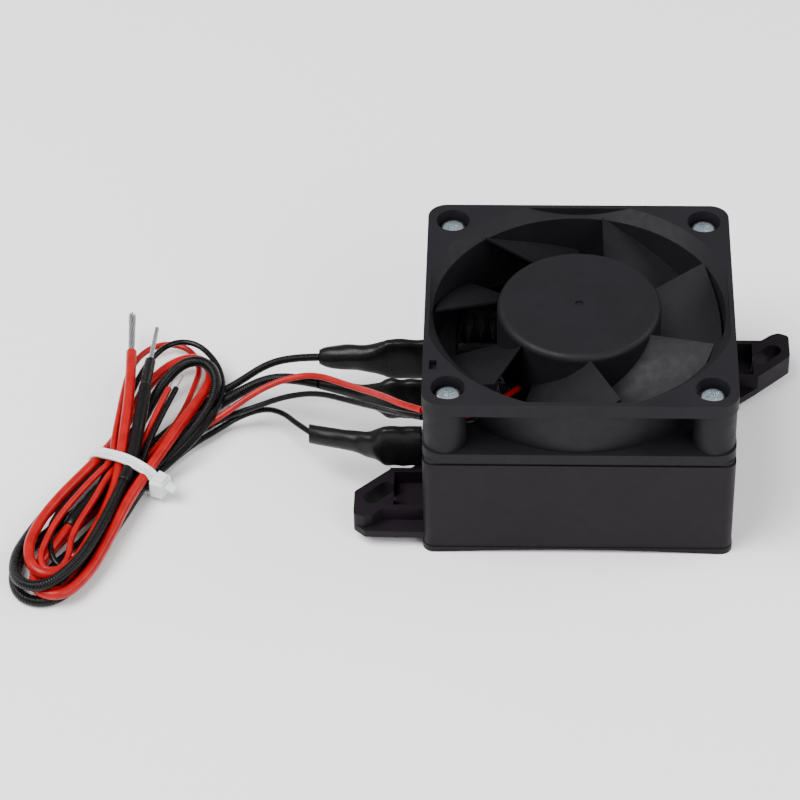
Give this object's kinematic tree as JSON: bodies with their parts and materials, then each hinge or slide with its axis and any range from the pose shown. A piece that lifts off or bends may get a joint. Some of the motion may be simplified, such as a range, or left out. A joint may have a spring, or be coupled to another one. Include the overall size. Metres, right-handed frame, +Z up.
{
  "type": "ptc fan heater",
  "caption": "Square ceramic air heater core in a black housing with slotted diagonal mounting ears, an axial fan screwed on top, shrink-sleeved terminals and leads tied in a hank.",
  "frame": {"origin": "centre of the outlet face that the heater stands on", "axes": "+Z up against the airflow, from the outlet to the fan's inlet; +X right, along the line of the two ears; the terminals and leads leave at -X; -Y is the front"},
  "size_m": [0.1547, 0.081, 0.0386],
  "materials": {
    "housing_plastic": "moulded black nylon, fine grain",
    "fan_plastic": "moulded black PBT, fine spark-eroded grain",
    "impeller_plastic": "moulded black PBT, satin",
    "cap_plastic": "heat-resistant black plastic",
    "gasket_foam": "closed-cell foam",
    "aluminium_fin": "bare folded strip",
    "electrode_metal": "rolled strip",
    "ptc_ceramic": "metallised dark ceramic",
    "zinc_screw": "bright zinc",
    "steel": "ground steel",
    "lamination_steel": "stacked sheet steel",
    "copper_wire": "enamelled copper",
    "bobbin_plastic": "natural nylon",
    "circuit_board": "solder mask",
    "chip_epoxy": "moulded epoxy",
    "bronze": "sintered bronze",
    "magnet_rubber": "bonded ferrite",
    "shrink_sleeve": "shrunk tube, slightly glossy",
    "red_insulation": "smooth red insulation",
    "black_insulation": "smooth black insulation",
    "black_glass_braid": "varnished heat-resistant black insulation, ribbed",
    "tinned_copper": "tinned strands",
    "tie_nylon": "translucent natural nylon"
  },
  "bodies": {
    "heater": {"outlet_cover": "housing_plastic", "heater_housing": "housing_plastic", "foam_gasket": "gasket_foam", "electrode_front": "electrode_metal", "electrode_middle": "electrode_metal", "electrode_rear": "electrode_metal", "ptc_chips_front": "ptc_ceramic", "ptc_chips_rear": "ptc_ceramic", "contact_plate_front": "aluminium_fin", "contact_plate_rear": "aluminium_fin", "fin_front_outer": "aluminium_fin", "fin_front_inner": "aluminium_fin", "fin_rear_inner": "aluminium_fin", "fin_rear_outer": "aluminium_fin", "core_rail_front": "aluminium_fin", "core_rail_rear": "aluminium_fin", "core_end_cap_left": "cap_plastic", "core_end_cap_right": "cap_plastic", "fan_frame": "fan_plastic", "fan_screws": "zinc_screw", "bearing_cap": "fan_plastic", "bearing_bush": "bronze", "fan_circuit_board": "circuit_board", "fan_driver_chips": "chip_epoxy", "stator_bobbin": "bobbin_plastic", "stator_laminations": "lamination_steel", "stator_windings": "copper_wire", "fan_wire_inner_red": "red_insulation", "fan_wire_inner_black": "black_insulation", "sleeve_rear": "shrink_sleeve", "sleeve_middle": "shrink_sleeve", "sleeve_front": "shrink_sleeve", "lead_heater_rear": "black_glass_braid", "lead_heater_middle": "black_glass_braid", "lead_heater_front": "black_insulation", "lead_fan_red": "red_insulation", "lead_fan_black": "black_insulation", "lead_hank": "black_insulation", "cable_tie": "tie_nylon", "end_supply_red": "red_insulation", "end_supply_black": "black_glass_braid", "end_fan_red": "red_insulation", "end_fan_black": "black_insulation", "strands_supply_red": "tinned_copper", "strands_supply_black": "tinned_copper", "strands_fan_red": "tinned_copper", "strands_fan_black": "tinned_copper"},
    "rotor": {"impeller": "impeller_plastic", "rotor_yoke": "steel", "rotor_magnet": "magnet_rubber", "rotor_shaft": "steel", "shaft_retainer": "steel"}
  },
  "joints": [
    {"name": "rotor_spin", "type": "hinge", "parent": "heater", "child": "rotor", "pos_m": [0, 0, 0.03], "axis": [0, 0, 1], "continuous": true}
  ]
}
